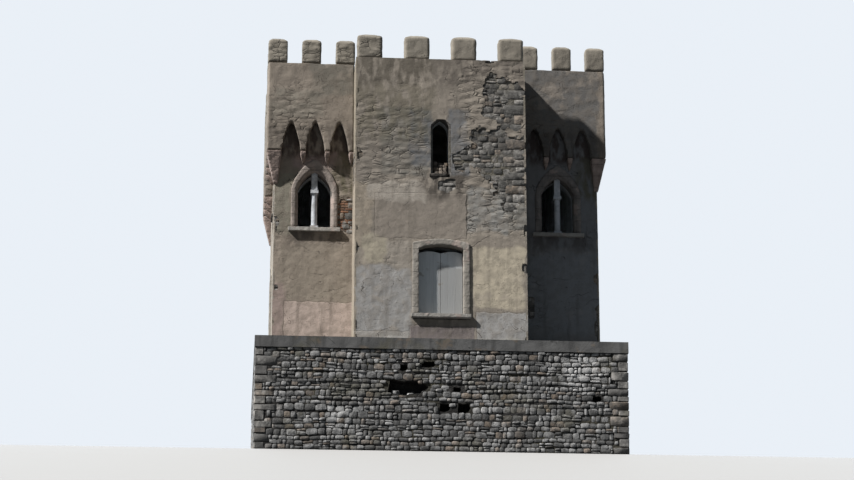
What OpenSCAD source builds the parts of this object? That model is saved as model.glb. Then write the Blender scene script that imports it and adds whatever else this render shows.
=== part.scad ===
// A lookout tower in the medieval style, on a square rubble plinth. The middle parts of its front and
// back step forward from the four corner parts, and a bay on corbels wraps round each outer corner.
// Millimetres. The origin is on the ground at the centre of the plinth, and the front is towards -Y.
// Each wall is drawn in a frame of its own: its outer face is the plane y = 0, the room is
// towards +y, x runs along the face and z rises from the top of the platform.

/* [Plinth] */
// Width of the ledge that the plinth leaves in front of the main walls
ledge_w = 450; // [400:10:500]
// Height of the rubble walls, from the lowest ground to the slab
plinth_wall_h = 2700; // [2600:50:4000]
// Thickness of the rubble walls
plinth_wall_t = 1100; // [1000:25:1500]
// Thickness of the platform slab on top
slab_t = 300; // [200:10:350]
// How far the slab reaches past the rubble
slab_overhang = 40; // [20:5:80]
// Depth of the hollows where stones have fallen out
cavity_depth = 380; // [250:10:600]

/* [Tower walls] */
// Width of the tower, from one main wall's face to the opposite one
body_w = 8900; // [8800:50:9200]
// Width of the middle parts at the front and the back
main_face_w = 4600; // [4400:50:4800]
// How far the middle parts step forward from the corner parts
middle_step = 1300; // [1100:50:1500]
// Thickness of the walls
wall_t = 600; // [500:25:700]

/* [Floors] */
// Clear height of the ground storey
ground_storey_h = 2820; // [2750:10:2950]
// Thickness of the first floor
floor_t = 280; // [200:10:350]
// Clear height of the upper storey
upper_storey_h = 3750; // [3600:10:4200]
// Thickness of the roof terrace slab
roof_t = 250; // [180:10:350]

/* [Main windows and door] */
// Width of a main window's opening
window_w = 1200; // [900:10:1400]
// Height of its sides, from the cill to the spring of the head
window_h = 1800; // [1500:10:1850]
// Height of the cill's top above the platform
window_cill_z = 780; // [600:10:800]
// Rise of the flat pointed head
window_rise = 110; // [80:5:140]
// Width of the stone surround on the face
surround_w = 170; // [120:5:220]
// How far the surrounds stand out of the wall
surround_proud = 70; // [40:5:110]
// How deep the surrounds go into the wall
surround_depth = 250; // [200:5:300]
// Height of the window cills
window_cill_h = 120; // [90:5:160]
// How far the cills reach past the surround at each end
cill_ear = 35; // [20:5:80]
// How far the cills stand out of the wall
cill_proud = 130; // [115:5:180]
// Distance of the shutters behind the wall face
shutter_set = 150; // [100:5:190]
// Thickness of the shutters
shutter_t = 45; // [30:1:60]
// Gap between the two shutters of a window, and at their sides
shutter_gap = 8; // [4:1:20]
// Rise of each shutter's curved top
shutter_rise = 55; // [30:5:80]
// Height of the dark gap that the shutters leave under the head
shutter_head_gap = 75; // [60:5:120]
// Width of the doorway
door_w = 1150; // [900:10:1300]
// Height of the doorway's sides
door_h = 2120; // [1950:10:2200]
// Height of the door's threshold
threshold_h = 60; // [40:5:100]
// Thickness of the door
door_t = 60; // [45:1:80]
// Gap round the door, at its sides and top
door_gap = 6; // [4:1:12]

/* [Pointed windows] */
// Width of a pointed window's opening
lancet_w = 900; // [800:10:960]
// Height of its sides, up to the spring of the arch
lancet_h = 1110; // [1050:10:1150]
// Rise of the pointed arch
lancet_rise = 500; // [440:10:560]
// Height of the cill's top above the platform
lancet_cill_z = 3470; // [3430:10:3490]
// Width of the stone surround at the sides
hood_w = 190; // [160:5:210]
// Rise of the surround's outer point above the spring
hood_rise = 870; // [800:10:900]
// How far the surround stands out of the wall
hood_proud = 60; // [40:5:90]
// Width of the step that runs round the inner edge of the surround
step_w = 60; // [40:5:90]
// Depth of that step
step_d = 55; // [40:5:90]
// Height of the cill
lancet_cill_h = 110; // [80:5:140]
// How far the cill reaches past the surround at each end
lancet_cill_ear = 75; // [40:5:100]
// Depth of the cill behind the wall face
cill_depth = 300; // [280:5:400]
// Thickness of the central pillar
pillar_d = 165; // [130:5:200]
// How far the pillar's square base and cap reach past it
pillar_ear = 25; // [15:1:35]
// Height of the pillar's base, and of its cap
pillar_block_h = 90; // [60:5:120]
// Distance of the pillar's centre behind the wall face
pillar_set = 160; // [130:5:180]

/* [Curves of the pointed heads] */
// Bulge of each half of a main window's head, past its straight chord
flat_bulge = 30; // [20:1:40]
// Bulge of each half of a pointed window's head
lancet_bulge = 75; // [60:1:85]
// Bulge of each half of the surround's outer edge
hood_bulge = 120; // [100:1:135]
// Bulge of each half of a slit window's head
slit_bulge = 35; // [25:1:45]
// Bulge of each half of an arch between two corbels
bay_bulge = 50; // [35:1:55]

/* [Slit windows] */
// Width of a slit window
slit_w = 450; // [350:10:550]
// Height of its sides
slit_h = 1350; // [1100:10:1450]
// Rise of its pointed head
slit_rise = 260; // [230:10:330]
// Height of its cill's top above the platform
slit_cill_z = 4700; // [4550:10:4750]
// Height of the cill
slit_cill_h = 100; // [80:5:140]
// How far the cill reaches past the opening at each end
slit_cill_ear = 95; // [60:5:140]

/* [Corner bays] */
// How far a bay stands out of the walls
bay_proud = 270; // [240:10:300]
// Height of the bay's foot above the platform
bay_z = 5600; // [5550:10:5700]
// Height of a corbel
corbel_h = 350; // [300:10:400]
// Width of a corbel at its top
corbel_w = 150; // [130:5:180]
// Height of the larger corbel that hangs at the tower's outer corner
corner_corbel_h = 900; // [800:10:1000]
// How far the foot of that corbel stands out, and how far it runs back along the walls
corner_foot = 60; // [40:5:90]
// Rise of the arches between the corbels
bay_arch_rise = 900; // [800:10:960]
// Height of the bay's parapet above the terrace
bay_parapet_h = 1080; // [1000:10:1200]

/* [Parapets and merlons] */
// Thickness of the parapets
parapet_t = 350; // [280:10:400]
// How far a side parapet runs on behind the bays at its ends
parapet_lap = 150; // [100:10:250]
// Height of the main parapets above the terrace
parapet_h = 900; // [800:10:960]
// Height of a merlon up to its cap
merlon_h = 640; // [500:10:800]
// Height of a merlon's pointed cap
merlon_cap_h = 110; // [70:5:160]
// Width of a merlon on a parapet
merlon_w = 700; // [600:10:800]
// Width of a merlon on a corner bay
bay_merlon_w = 540; // [450:10:600]

/* [Hidden] */

// Bearings of the sides, turning from the front towards the right
FRONT = 0;
RIGHT = 90;
BACK = 180;
LEFT = 270;
WINDOW_SIDES = [FRONT, RIGHT, LEFT];
MAIN_SIDES = [FRONT, RIGHT, BACK, LEFT];
// Corners, as the x and y ways in which each is a mirror image of the front right one
FRONT_RIGHT = [0, 0];
BACK_RIGHT = [0, 1];
BACK_LEFT = [1, 1];
FRONT_LEFT = [1, 0];
CORNERS = [FRONT_RIGHT, BACK_RIGHT, BACK_LEFT, FRONT_LEFT];

// Colours, as the photograph shows them
RUBBLE = [0.44, 0.42, 0.40];
EARTH = [0.38, 0.35, 0.31];
CEMENT = [0.50, 0.48, 0.45];
PLASTER = [0.62, 0.56, 0.48];
STONE = [0.66, 0.61, 0.56];
PILLAR = [0.62, 0.63, 0.64];
BOARD = [0.50, 0.52, 0.52];
OAK = [0.36, 0.29, 0.22];

plinth_w = body_w + 2 * ledge_w;
platform_z = plinth_wall_h + slab_t;
wall_h = ground_storey_h + floor_t + upper_storey_h + roof_t;
main_d = body_w / 2;
middle_half = main_face_w / 2;
// Distance of the corner parts' front and back faces from the middle of the tower
corner_d = main_d - middle_step;
corner_face_w = main_d - middle_half;
// Half of the wall that shows between the two bays of a side
side_half = corner_d - corner_face_w;
// Points on each half of a pointed head
HEAD_STEPS = 8;
bay_top = wall_h + bay_parapet_h;
corbel_pitch = (corner_face_w - corbel_w) / 3;
bay_arch_half = (corbel_pitch - corbel_w) / 2;
window_half = window_w / 2;
door_half = door_w / 2;
lancet_half = lancet_w / 2;
// Width of the square base and cap of a window pillar
pillar_block = pillar_d + 2 * pillar_ear;
// How far a cut runs past the face that it opens
CUT = 10;

// Hollows in the front of the plinth: centre x, centre height, width, height
CAVITIES = [
    [-910, 1680, 1080, 420],
    [-360, 2310, 400, 180],
    [-1030, 2210, 230, 190],
    [60, 1160, 300, 240],
    [560, 1150, 350, 290],
    [380, 1640, 220, 160],
    [4080, 1450, 260, 200]
];
// Outline of a hollow in shares of its width and height, as fallen stones leave it
CAVITY_SHAPE = [
    [-0.50, -0.42], [-0.12, -0.50], [0.30, -0.36], [0.50, 0.02],
    [0.34, 0.44], [-0.08, 0.38], [-0.44, 0.50]
];

// Points of a pointed head, from (-half, 0) over (0, rise) to (half, 0)
function half_head(half, rise, bulge) =
    let (chord = sqrt(half * half + rise * rise))
    let (radius = (chord * chord / 4 + bulge * bulge) / (2 * bulge))
    let (along = [half, rise] / chord, out = [-rise, half] / chord)
    let (centre = [-half, rise] / 2 - out * (radius - bulge))
    let (sweep = asin(chord / 2 / radius))
    [for (i = [0:HEAD_STEPS])
        let (angle = sweep * (2 * i / HEAD_STEPS - 1))
        centre + radius * (out * cos(angle) + along * sin(angle))];

function head(half, rise, bulge) =
    let (left = half_head(half, rise, bulge))
    concat(left, [for (i = [HEAD_STEPS - 1:-1:0]) [-left[i][0], left[i][1]]]);

function raised(points, z) = [for (p = points) [p[0], p[1] + z]];

// A round-topped outline, for one shutter
function arc_top(half, rise) =
    let (radius = (half * half + rise * rise) / (2 * rise))
    let (sweep = asin(half / radius))
    [for (i = [0:HEAD_STEPS])
        let (angle = sweep * (2 * i / HEAD_STEPS - 1))
        [radius * sin(angle), radius * cos(angle) - (radius - rise)]];

// The outline of an opening: straight sides and a pointed head
module opening(half, sides, rise, bulge) {
    polygon(concat([[-half, 0]], raised(head(half, rise, bulge), sides), [[half, 0]]));
}

// Stands an outline up in the wall, between two depths
module stand(y_out, y_in) {
    translate([0, y_in, 0]) rotate([90, 0, 0]) linear_extrude(height = y_in - y_out) children();
}

// Puts a piece on the side with that bearing, its wall face that far from the axis
module on_side(bearing, distance) {
    translate([0, 0, platform_z]) rotate([0, 0, bearing]) translate([0, -distance, 0]) children();
}

module on_main(bearing) {
    on_side(bearing, main_d) children();
}

// Puts a piece at a corner of the tower: at the front right one, the walls' outer arris is x = y = 0,
// one outer face runs along -x and looks to -y, and the other runs along +y and looks to +x
module on_corner(corner) {
    mirror([corner[0], 0, 0]) mirror([0, corner[1], 0])
        translate([main_d, -corner_d, platform_z]) children();
}

// Puts a piece on a corner part's front or back face, with x = 0 in the middle of that face
module on_corner_face(corner) {
    on_corner(corner) translate([-corner_face_w / 2, 0, 0]) children();
}

// Repeats round the corner what stands on one of its two outer faces
module both_faces() {
    children();
    mirror([1, 1, 0]) children();
}

// Plinth

module cavity(x, z, w, h) {
    translate([x, 0, z])
        stand(-CUT, cavity_depth) polygon([for (p = CAVITY_SHAPE) [p[0] * w, p[1] * h]]);
}

module plinth_end_wall() {
    translate([-plinth_w / 2, 0, 0]) cube([plinth_w, plinth_wall_t, plinth_wall_h]);
}

module plinth_front_wall() {
    color(RUBBLE) translate([0, -plinth_w / 2, 0]) difference() {
        plinth_end_wall();
        for (c = CAVITIES) cavity(c[0], c[1], c[2], c[3]);
    }
}

module plinth_back_wall() {
    color(RUBBLE) translate([0, plinth_w / 2 - plinth_wall_t, 0]) plinth_end_wall();
}

module plinth_side_wall(bearing) {
    length = plinth_w - 2 * plinth_wall_t;
    color(RUBBLE) rotate([0, 0, bearing]) translate([-length / 2, -plinth_w / 2, 0])
        cube([length, plinth_wall_t, plinth_wall_h]);
}

// Rubble and earth between the walls, which carries the slab and the corner walls on it
module plinth_fill() {
    width = plinth_w - 2 * plinth_wall_t;
    color(EARTH) translate([-width / 2, -width / 2, 0]) cube([width, width, plinth_wall_h]);
}

module platform_slab() {
    size = plinth_w + 2 * slab_overhang;
    color(CEMENT) translate([-size / 2, -size / 2, plinth_wall_h]) cube([size, size, slab_t]);
}

// Walls

// The wall of a middle part, with a return at each end that reaches as deep as the corner walls
module middle_block() {
    depth = middle_step + wall_t;
    linear_extrude(height = wall_h) difference() {
        translate([-middle_half, 0]) square([main_face_w, depth]);
        translate([wall_t - middle_half, wall_t]) square([main_face_w - 2 * wall_t, depth]);
    }
}

// A side wall, mitred with the corner walls at both ends
module side_block() {
    inner_half = corner_d - wall_t;
    linear_extrude(height = wall_h) polygon([
        [-corner_d, 0], [corner_d, 0], [inner_half, wall_t], [-inner_half, wall_t]
    ]);
}

module corner_block() {
    linear_extrude(height = wall_h) polygon([
        [-corner_face_w, 0], [0, 0], [-wall_t, wall_t], [-corner_face_w, wall_t]
    ]);
}

// Cuts an opening through the wall, with the rebate that its stone surround is set in
module through_cut() {
    stand(-CUT, wall_t + CUT) children();
}

module rebate_cut() {
    stand(-CUT, surround_depth) children();
}

module window_outline() {
    opening(window_half, window_h, window_rise, flat_bulge);
}

module window_outer_outline() {
    opening(window_half + surround_w, window_h + surround_w, window_rise, flat_bulge);
}

module door_outline() {
    opening(door_half, door_h, window_rise, flat_bulge);
}

module door_outer_outline() {
    opening(door_half + surround_w, door_h + surround_w, window_rise, flat_bulge);
}

module slit_outline() {
    opening(slit_w / 2, slit_h, slit_rise, slit_bulge);
}

module lancet_outline() {
    opening(lancet_half, lancet_h, lancet_rise, lancet_bulge);
}

module lancet_step_outline() {
    opening(lancet_half + step_w, lancet_h, lancet_rise + 1.5 * step_w, lancet_bulge);
}

module lancet_outer_outline() {
    opening(lancet_half + hood_w, lancet_h, hood_rise, hood_bulge);
}

// A cill's stone, from outside the wall to its depth in it, with its top at z = 0
module cill(half, height, proud, depth) {
    translate([-half, -proud, -height]) cube([2 * half, proud + depth, height]);
}

module window_cill() {
    cill(window_half + surround_w + cill_ear, window_cill_h, cill_proud, cill_depth);
}

module lancet_cill() {
    cill(lancet_half + hood_w + lancet_cill_ear, lancet_cill_h, cill_proud, cill_depth);
}

module slit_cill() {
    cill(slit_w / 2 + slit_cill_ear, slit_cill_h, cill_proud - surround_proud + CUT, cill_depth);
}

module slit_cuts() {
    translate([0, 0, slit_cill_z]) {
        through_cut() slit_outline();
        slit_cill();
    }
}

module window_wall(bearing) {
    color(PLASTER) on_main(bearing) difference() {
        children();
        translate([0, 0, window_cill_z]) {
            through_cut() window_outline();
            rebate_cut() window_outer_outline();
            window_cill();
        }
        slit_cuts();
    }
}

module door_wall(bearing) {
    color(PLASTER) on_main(bearing) difference() {
        children();
        translate([0, 0, -CUT]) stand(-CUT, wall_t + CUT) square([door_w, 2 * CUT], center = true);
        through_cut() door_outline();
        rebate_cut() door_outer_outline();
        slit_cuts();
    }
}

module corner_wall(corner) {
    color(PLASTER) on_corner(corner) difference() {
        corner_block();
        translate([-corner_face_w / 2, 0, lancet_cill_z]) {
            through_cut() lancet_outline();
            rebate_cut() lancet_outer_outline();
            lancet_cill();
        }
    }
}

// Floors, set between the walls

module floor_plan() {
    inner_d = main_d - wall_t;
    square([2 * (middle_half - wall_t), 2 * inner_d], center = true);
    square([2 * inner_d, 2 * (corner_d - wall_t)], center = true);
}

module first_floor() {
    color(CEMENT) translate([0, 0, platform_z + ground_storey_h])
        linear_extrude(height = floor_t) floor_plan();
}

module roof_terrace() {
    color(CEMENT) translate([0, 0, platform_z + wall_h - roof_t])
        linear_extrude(height = roof_t) floor_plan();
}

// Main windows and the door

module window_surrounds() {
    color(STONE) for (side = WINDOW_SIDES) on_main(side) translate([0, 0, window_cill_z])
        stand(-surround_proud, surround_depth) difference() {
            window_outer_outline();
            window_outline();
        }
}

module shutter_leaf(side) {
    half = (window_half - 1.5 * shutter_gap) / 2;
    top = window_h - shutter_head_gap;
    translate([side * (half + shutter_gap / 2), 0, 0])
        stand(shutter_set, shutter_set + shutter_t)
            polygon(concat([[-half, 0]], raised(arc_top(half, shutter_rise), top), [[half, 0]]));
}

module window_shutters() {
    color(BOARD) for (side = WINDOW_SIDES) on_main(side) translate([0, 0, window_cill_z]) {
        shutter_leaf(-1);
        shutter_leaf(1);
    }
}

module window_cills() {
    color(STONE) for (side = WINDOW_SIDES) on_main(side) translate([0, 0, window_cill_z])
        window_cill();
}

module door_surround() {
    color(STONE) on_main(BACK) stand(-surround_proud, surround_depth) difference() {
        door_outer_outline();
        door_outline();
    }
}

module door_threshold() {
    color(STONE) on_main(BACK) translate([-door_half, 0, 0]) cube([door_w, wall_t, threshold_h]);
}

module door() {
    color(OAK) on_main(BACK) translate([0, 0, threshold_h]) stand(shutter_set, shutter_set + door_t)
        opening(door_half - door_gap, door_h - threshold_h - door_gap, window_rise, flat_bulge);
}

// Pointed windows in the corner parts

// A pointed surround in two steps: the front one leaves a wider opening than the back one
module lancet_surround(corner) {
    color(STONE) on_corner_face(corner) translate([0, 0, lancet_cill_z]) difference() {
        stand(-hood_proud, surround_depth) lancet_outer_outline();
        stand(-hood_proud - CUT, surround_depth + CUT) lancet_outline();
        stand(-hood_proud - CUT, step_d - hood_proud) lancet_step_outline();
    }
}

// A round pillar with a square base and cap, and a square stem that runs up to the arch
module lancet_pillar() {
    translate([0, 0, lancet_cill_z]) {
        translate([-pillar_block / 2, pillar_set - pillar_block / 2, 0])
            cube([pillar_block, pillar_block, pillar_block_h]);
        translate([0, pillar_set, pillar_block_h])
            cylinder(d = pillar_d, h = lancet_h - 2 * pillar_block_h, $fn = 48);
        translate([-pillar_block / 2, pillar_set - pillar_block / 2, lancet_h - pillar_block_h])
            cube([pillar_block, pillar_block, pillar_block_h]);
        stand(pillar_set - pillar_d / 2, pillar_set + pillar_d / 2) intersection() {
            lancet_outline();
            translate([-pillar_d / 2, lancet_h]) square([pillar_d, lancet_rise]);
        }
    }
}

module lancet_pillars() {
    color(PILLAR) for (corner = CORNERS) on_corner_face(corner) lancet_pillar();
}

module lancet_cills() {
    color(STONE) for (corner = CORNERS) on_corner_face(corner) translate([0, 0, lancet_cill_z])
        lancet_cill();
}

module slit_cills() {
    color(STONE) for (side = MAIN_SIDES) on_main(side) translate([0, 0, slit_cill_z])
        slit_cill();
}

// Corner bays, each on seven corbels with six pointed arches between them

// A hanging corbel: both its side view and its front view curve out from a point at the foot
module corbel() {
    side_view = [for (i = [0:HEAD_STEPS])
        [-bay_proud * sin(90 * i / HEAD_STEPS), corbel_h * i / HEAD_STEPS]];
    half_view = [for (i = [1:HEAD_STEPS])
        [corbel_w / 2 * sin(90 * i / HEAD_STEPS), corbel_h * i / HEAD_STEPS]];
    other_half = [for (i = [HEAD_STEPS - 1:-1:0]) [-half_view[i][0], half_view[i][1]]];
    intersection() {
        rotate([90, 0, 90]) translate([0, 0, -corbel_w / 2])
            linear_extrude(height = corbel_w) polygon(concat(side_view, [[0, corbel_h]]));
        stand(-bay_proud, 0) polygon(concat([[0, 0]], half_view, other_half));
    }
}

// The larger corbel at the corner widens from its foot both outwards and along the walls
module corner_corbel_view() {
    stand(-bay_proud, corbel_w) polygon([
        [-corner_foot, 0], [corner_foot, 0], [bay_proud, corner_corbel_h], [-corbel_w, corner_corbel_h]
    ]);
}

module corner_corbel() {
    difference() {
        intersection() {
            corner_corbel_view();
            mirror([1, 1, 0]) corner_corbel_view();
        }
        translate([-corbel_w - CUT, 0, -CUT])
            cube([corbel_w + CUT, corbel_w + CUT, corner_corbel_h + 2 * CUT]);
    }
}

module corbels(corner) {
    color(STONE) on_corner(corner) {
        translate([0, 0, bay_z - corner_corbel_h]) corner_corbel();
        both_faces() for (i = [1:3])
            translate([-corbel_w / 2 - i * corbel_pitch, 0, bay_z - corbel_h]) corbel();
    }
}

// The two walls of a bay, which meet at the corner
module bay_block() {
    linear_extrude(height = bay_top - bay_z) difference() {
        translate([-corner_face_w, -bay_proud]) square(corner_face_w + bay_proud);
        translate([-corner_face_w - CUT, 0]) square(corner_face_w + CUT);
    }
}

module bay(corner) {
    color(PLASTER) on_corner(corner) translate([0, 0, bay_z]) difference() {
        bay_block();
        both_faces() for (i = [0.5:1:2.5]) translate([-corbel_w / 2 - i * corbel_pitch, 0, -CUT])
            stand(-bay_proud - CUT, CUT) opening(bay_arch_half, CUT, bay_arch_rise, bay_bulge);
    }
}

// Parapets between the bays

module middle_parapet(bearing) {
    color(PLASTER) on_main(bearing) translate([0, 0, wall_h]) linear_extrude(height = parapet_h)
        difference() {
            translate([-middle_half, 0]) square([main_face_w, middle_step]);
            translate([parapet_t - middle_half, parapet_t])
                square([main_face_w - 2 * parapet_t, middle_step]);
        }
}

module side_parapet(bearing) {
    half = side_half + parapet_lap;
    color(PLASTER) on_main(bearing) translate([-half, 0, wall_h])
        cube([2 * half, parapet_t, parapet_h]);
}

// A merlon whose cap is hipped on all four sides, standing on z = 0 behind y = 0
module merlon(width, depth) {
    top = merlon_h + merlon_cap_h;
    half_depth = depth / 2;
    intersection() {
        stand(0, depth) polygon([
            [-width / 2, 0], [width / 2, 0], [width / 2, merlon_h],
            [width / 2 - half_depth, top], [half_depth - width / 2, top], [-width / 2, merlon_h]
        ]);
        rotate([90, 0, 90]) translate([0, 0, -width / 2]) linear_extrude(height = width) polygon([
            [0, 0], [depth, 0], [depth, merlon_h], [half_depth, top], [0, merlon_h]
        ]);
    }
}

module wall_merlon(bearing, x) {
    on_main(bearing) translate([x, 0, wall_h + parapet_h]) merlon(merlon_w, parapet_t);
}

module wall_merlons() {
    pitch = (main_face_w - merlon_w) / 3;
    color(PLASTER) {
        for (side = [FRONT, BACK]) for (i = [-1.5:1:1.5]) wall_merlon(side, i * pitch);
        for (side = [LEFT, RIGHT]) wall_merlon(side, 0);
    }
}

// Three merlons on each wall of a bay; the two at the corner make one
module bay_merlons() {
    pitch = (corner_face_w + bay_proud - bay_merlon_w) / 2;
    color(PLASTER) for (corner = CORNERS) on_corner(corner) both_faces() for (i = [0:2])
        translate([bay_proud - bay_merlon_w / 2 - i * pitch, -bay_proud, bay_top])
            merlon(bay_merlon_w, bay_proud);
}

plinth_front_wall();
plinth_side_wall(RIGHT);  // plinth_right_wall
plinth_back_wall();
plinth_side_wall(LEFT);  // plinth_left_wall
plinth_fill();
platform_slab();
window_wall(FRONT) middle_block();  // front_wall
corner_wall(FRONT_RIGHT);  // front_right_corner_wall
window_wall(RIGHT) side_block();  // right_wall
corner_wall(BACK_RIGHT);  // back_right_corner_wall
door_wall(BACK) middle_block();  // back_wall
corner_wall(BACK_LEFT);  // back_left_corner_wall
window_wall(LEFT) side_block();  // left_wall
corner_wall(FRONT_LEFT);  // front_left_corner_wall
first_floor();
roof_terrace();
window_surrounds();
window_shutters();
window_cills();
door_surround();
door();
door_threshold();
lancet_surround(FRONT_RIGHT);  // front_right_lancet_surround
lancet_surround(BACK_RIGHT);  // back_right_lancet_surround
lancet_surround(BACK_LEFT);  // back_left_lancet_surround
lancet_surround(FRONT_LEFT);  // front_left_lancet_surround
lancet_pillars();
lancet_cills();
slit_cills();
corbels(FRONT_RIGHT);  // front_right_corbels
corbels(BACK_RIGHT);  // back_right_corbels
corbels(BACK_LEFT);  // back_left_corbels
corbels(FRONT_LEFT);  // front_left_corbels
bay(FRONT_RIGHT);  // front_right_bay
bay(BACK_RIGHT);  // back_right_bay
bay(BACK_LEFT);  // back_left_bay
bay(FRONT_LEFT);  // front_left_bay
middle_parapet(FRONT);  // front_parapet
side_parapet(RIGHT);  // right_parapet
middle_parapet(BACK);  // back_parapet
side_parapet(LEFT);  // left_parapet
wall_merlons();
bay_merlons();
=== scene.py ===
# The looks of a lookout tower on a square rubble plinth, in the medieval style. Metres, in the packed
# model's own frame: +Z up, and the front towards -Y. What belongs to a face of the walls is modelled
# in that face's frame, with x along it, y going into the wall and z up from the platform.
import math
import random
from collections import namedtuple

import bpy
from mathutils import Matrix, Vector, noise


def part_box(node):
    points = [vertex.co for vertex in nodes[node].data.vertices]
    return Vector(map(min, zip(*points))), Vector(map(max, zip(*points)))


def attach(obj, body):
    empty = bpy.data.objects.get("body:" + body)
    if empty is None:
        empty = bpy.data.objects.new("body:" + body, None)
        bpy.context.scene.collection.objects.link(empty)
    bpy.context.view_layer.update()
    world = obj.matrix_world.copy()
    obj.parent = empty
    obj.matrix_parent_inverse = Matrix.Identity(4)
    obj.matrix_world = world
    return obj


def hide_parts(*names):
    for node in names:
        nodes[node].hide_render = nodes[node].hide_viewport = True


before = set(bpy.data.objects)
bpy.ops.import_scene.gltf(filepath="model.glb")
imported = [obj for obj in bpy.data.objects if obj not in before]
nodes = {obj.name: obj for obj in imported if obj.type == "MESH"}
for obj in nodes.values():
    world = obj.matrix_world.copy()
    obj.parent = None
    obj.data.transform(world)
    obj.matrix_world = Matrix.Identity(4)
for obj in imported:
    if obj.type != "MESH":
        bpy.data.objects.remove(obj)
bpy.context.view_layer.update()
bpy.ops.object.select_all(action="DESELECT")

# Sizes, read from the solids

wall_low, wall_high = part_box("front_wall")
parapet_low, parapet_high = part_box("front_parapet")
corner_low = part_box("front_right_corner_wall")[0]
plinth_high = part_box("plinth_front_wall")[1]
bay_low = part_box("front_left_bay")[0]
PLATFORM = wall_low.z
PARAPET_TOP = parapet_high.z - PLATFORM
WALL_TOP = parapet_low.z - PLATFORM
BAY_FOOT = bay_low.z - PLATFORM
MAIN_HALF = wall_high.x
MAIN_D = -wall_low.y
CORNER_D = -corner_low.y
CORNER_HALF = (MAIN_D - MAIN_HALF) / 2
CORNER_X = (MAIN_D + MAIN_HALF) / 2
STEP_HALF = (MAIN_D - CORNER_D) / 2
STEP_Y = (MAIN_D + CORNER_D) / 2
# Half of what shows of a side wall between its two bays
SIDE_HALF = CORNER_D - 2 * CORNER_HALF
PLINTH_D = plinth_high.x
PLINTH_H = plinth_high.z
# The hollows in the plinth's front: centre x, centre z, width and height
HOLLOWS = [
    (-0.91, 1.68, 1.08, 0.42),
    (-0.36, 2.31, 0.40, 0.18),
    (-1.03, 2.21, 0.23, 0.19),
    (0.06, 1.16, 0.30, 0.24),
    (0.56, 1.15, 0.35, 0.29),
    (0.38, 1.64, 0.22, 0.16),
    (4.08, 1.45, 0.26, 0.20),
]
# Outline of a hollow in shares of its width and height
HOLLOW_SHAPE = [(-0.50, -0.42), (-0.12, -0.50), (0.30, -0.36), (0.50, 0.02), (0.34, 0.44), (-0.08, 0.38),
                (-0.44, 0.50)]
HOLLOW_EDGES = [HOLLOW_SHAPE[n - 1] + HOLLOW_SHAPE[n] for n in range(len(HOLLOW_SHAPE))]
# Thickness of the plaster, and the size of the cells in which it breaks off
COAT = 0.025
CELL = 0.065
# How deep the plaster and the stones reach into the wall
KEY = 0.02
BED_DEPTH = 0.03
# How far the plaster laps over the outer edge of a surround
LAP = 0.04
# A repair in the plaster whose edge is no wider than this keeps to straight lines
STRAIGHT = 0.03

# A face of the walls: the side it looks to as a turn from the front, its distance from the middle of
# the tower, how far along that side its centre lies, half its width, how high it reaches, and
# whether its left and its right end are outer corners
Face = namedtuple("Face", "bearing distance along half top outer")
WHOLE = Face(0, 0, 0, 0, 0, (False, False))
MAIN_FACES = {
    "front": Face(0, MAIN_D, 0, MAIN_HALF, PARAPET_TOP, (True, True)),
    "right": Face(90, MAIN_D, 0, CORNER_D, PARAPET_TOP, (True, True)),
    "back": Face(180, MAIN_D, 0, MAIN_HALF, PARAPET_TOP, (True, True)),
    "left": Face(270, MAIN_D, 0, CORNER_D, PARAPET_TOP, (True, True)),
}
# The plaster of a corner ends behind its bay
CORNER_TOP = BAY_FOOT + 0.92
CORNER_FACES = {
    "front_left": Face(0, CORNER_D, -CORNER_X, CORNER_HALF, CORNER_TOP, (True, False)),
    "front_right": Face(0, CORNER_D, CORNER_X, CORNER_HALF, CORNER_TOP, (False, True)),
    "back_right": Face(180, CORNER_D, -CORNER_X, CORNER_HALF, CORNER_TOP, (True, False)),
    "back_left": Face(180, CORNER_D, CORNER_X, CORNER_HALF, CORNER_TOP, (False, True)),
}
STEP_FACES = {
    "front_left": Face(270, MAIN_HALF, STEP_Y, STEP_HALF, PARAPET_TOP, (False, True)),
    "front_right": Face(90, MAIN_HALF, -STEP_Y, STEP_HALF, PARAPET_TOP, (True, False)),
    "back_right": Face(90, MAIN_HALF, STEP_Y, STEP_HALF, PARAPET_TOP, (False, True)),
    "back_left": Face(270, MAIN_HALF, -STEP_Y, STEP_HALF, PARAPET_TOP, (True, False)),
}
PLINTH_FACES = {
    side: Face(face.bearing, PLINTH_D, 0, PLINTH_D, PLINTH_H, (True, True))
    for side, face in MAIN_FACES.items()
}


# Finishes


def paint(red, green, blue):
    """A colour as it looks in daylight, 0 to 255, as the linear values that a shader takes."""
    values = [v / 255 for v in (red, green, blue)]
    linear = [v / 12.92 if v < 0.04 else ((v + 0.055) / 1.055) ** 2.4 for v in values]
    return (*linear, 1)


def shade(colour, factor):
    return (*[min(1, v * factor) for v in colour[:3]], 1)


class NodeTree:
    """Adds nodes to a tree, and feeds each of them with values or with other nodes."""

    def __init__(self, tree):
        self.tree = tree

    def node(self, kind, operation=None, **inputs):
        node = self.tree.nodes.new(kind)
        if operation:
            node.operation = operation
        for name, value in inputs.items():
            self.feed(node.inputs[name], value)
        return node

    def feed(self, socket, value):
        if isinstance(value, bpy.types.NodeSocket):
            self.tree.links.new(value, socket)
        else:
            socket.default_value = value

    def map_range(self, value, low, high, to_low, to_high):
        node = self.node("ShaderNodeMapRange", Value=value)
        for name, number in zip(("From Min", "From Max", "To Min", "To Max"), (low, high, to_low, to_high)):
            node.inputs[name].default_value = number
        return node

    def math(self, operation, first, second):
        node = self.node("ShaderNodeMath", operation)
        self.feed(node.inputs[0], first)
        self.feed(node.inputs[1], second)
        return node.outputs["Value"]


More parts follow.
